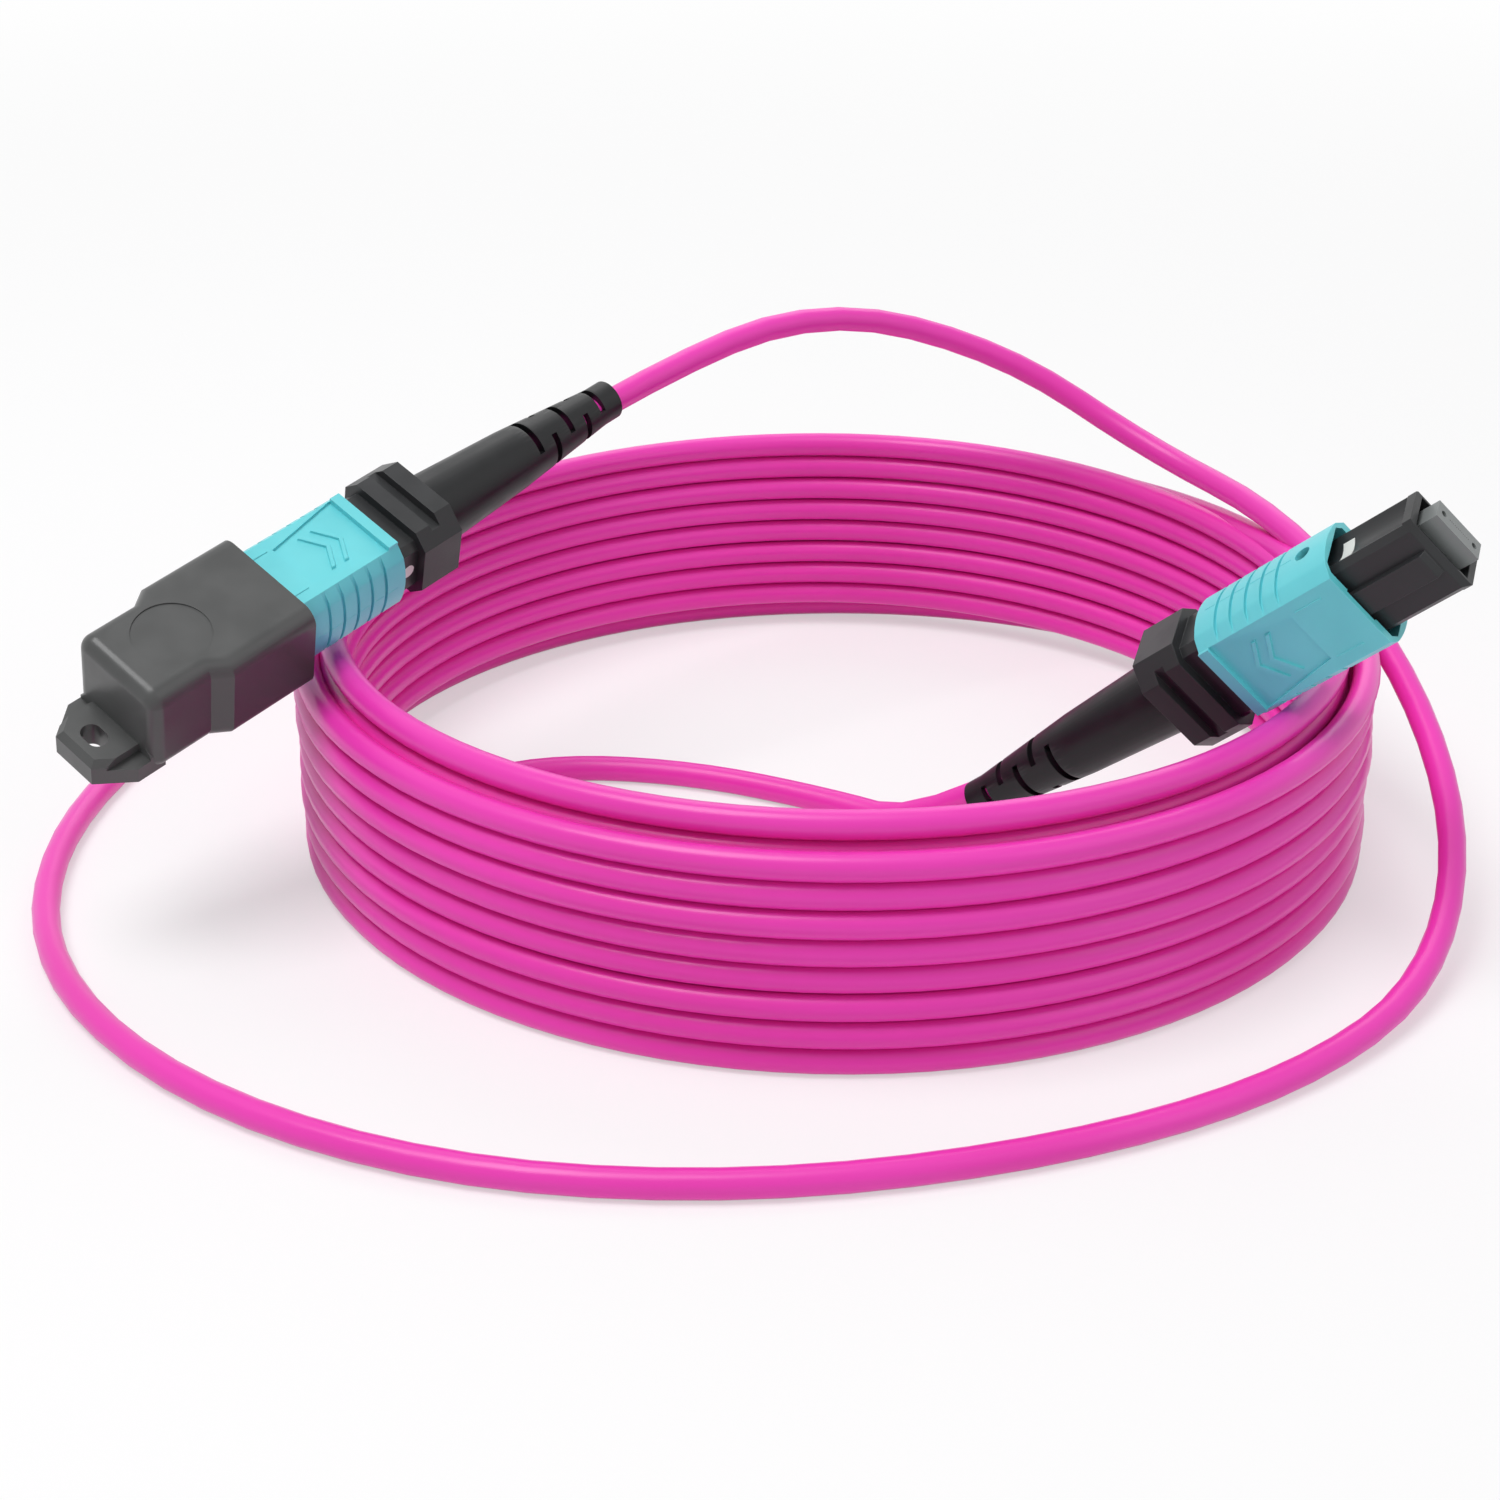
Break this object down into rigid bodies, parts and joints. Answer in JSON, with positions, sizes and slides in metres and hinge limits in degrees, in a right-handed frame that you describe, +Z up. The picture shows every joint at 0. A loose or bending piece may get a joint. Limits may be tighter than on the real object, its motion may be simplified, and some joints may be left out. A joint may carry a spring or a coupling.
{
  "type": "multi-fibre patch cable",
  "caption": "Coiled round fibre-optic patch cable with a push-pull multi-fibre plug on each end, one plug covered by a dust cap.",
  "frame": {"origin": "on the floor at the centre of the cable coil", "axes": "+Z up along the coil's axis; +X to the right and +Y away from the viewer of the picture"},
  "size_m": [0.1573, 0.1512, 0.0524],
  "materials": {
    "cable_jacket": "satin",
    "black_plastic": "satin",
    "aqua_plastic": "satin",
    "cap_plastic": "semi-gloss",
    "ferrule_resin": "fine matt",
    "spring_steel": "bright",
    "crimp_metal": "bright",
    "soft_rubber": "matt",
    "fibre_coating": "clear coat",
    "white_ink": "matt"
  },
  "bodies": {
    "cable": {"cable_coil": "cable_jacket", "capped_tail": "cable_jacket", "open_tail": "cable_jacket", "capped_polarity_dot": "white_ink", "open_position_mark": "white_ink", "capped_strain_relief_boot": "black_plastic", "capped_crimp_ring": "crimp_metal", "capped_rear_body": "black_plastic", "capped_inner_housing": "black_plastic", "capped_sleeve_springs": "spring_steel", "capped_ferrule_spring": "spring_steel", "open_strain_relief_boot": "black_plastic", "open_crimp_ring": "crimp_metal", "open_rear_body": "black_plastic", "open_inner_housing": "black_plastic", "open_sleeve_springs": "spring_steel", "open_ferrule_spring": "spring_steel"},
    "capped_sleeve": {"capped_coupling_sleeve": "aqua_plastic"},
    "capped_ferrule_set": {"capped_ferrule": "ferrule_resin", "capped_ferrule_boot": "soft_rubber", "capped_pin_clamp": "crimp_metal", "capped_fibre_ribbon": "fibre_coating"},
    "open_sleeve": {"open_coupling_sleeve": "aqua_plastic"},
    "open_ferrule_set": {"open_ferrule": "ferrule_resin", "open_ferrule_boot": "soft_rubber", "open_pin_clamp": "crimp_metal", "open_fibre_ribbon": "fibre_coating"},
    "cap": {"dust_cap": "cap_plastic"}
  },
  "joints": [
    {"name": "capped_sleeve_slide", "type": "slide", "parent": "cable", "child": "capped_sleeve", "axis": [0.6645, 0.7126, 0.225], "range_m": [0, 0.002], "stiffness_N_per_m": 300, "springref_m": -0.003, "deforming": ["capped_sleeve_springs"]},
    {"name": "capped_ferrule_slide", "type": "slide", "parent": "cable", "child": "capped_ferrule_set", "axis": [0.6645, 0.7126, 0.225], "range_m": [0, 0.001], "stiffness_N_per_m": 500, "springref_m": -0.002, "deforming": ["capped_ferrule_spring"]},
    {"name": "open_sleeve_slide", "type": "slide", "parent": "cable", "child": "open_sleeve", "axis": [-0.6425, 0.4172, -0.6428], "range_m": [0, 0.002], "stiffness_N_per_m": 300, "springref_m": -0.003, "deforming": ["open_sleeve_springs"]},
    {"name": "open_ferrule_slide", "type": "slide", "parent": "cable", "child": "open_ferrule_set", "axis": [-0.6425, 0.4172, -0.6428], "range_m": [0, 0.001], "stiffness_N_per_m": 500, "springref_m": -0.002, "deforming": ["open_ferrule_spring"]},
    {"name": "dust_cap_slide", "type": "slide", "parent": "cable", "child": "cap", "axis": [-0.6645, -0.7126, -0.225], "range_m": [0, 0.018]}
  ]
}
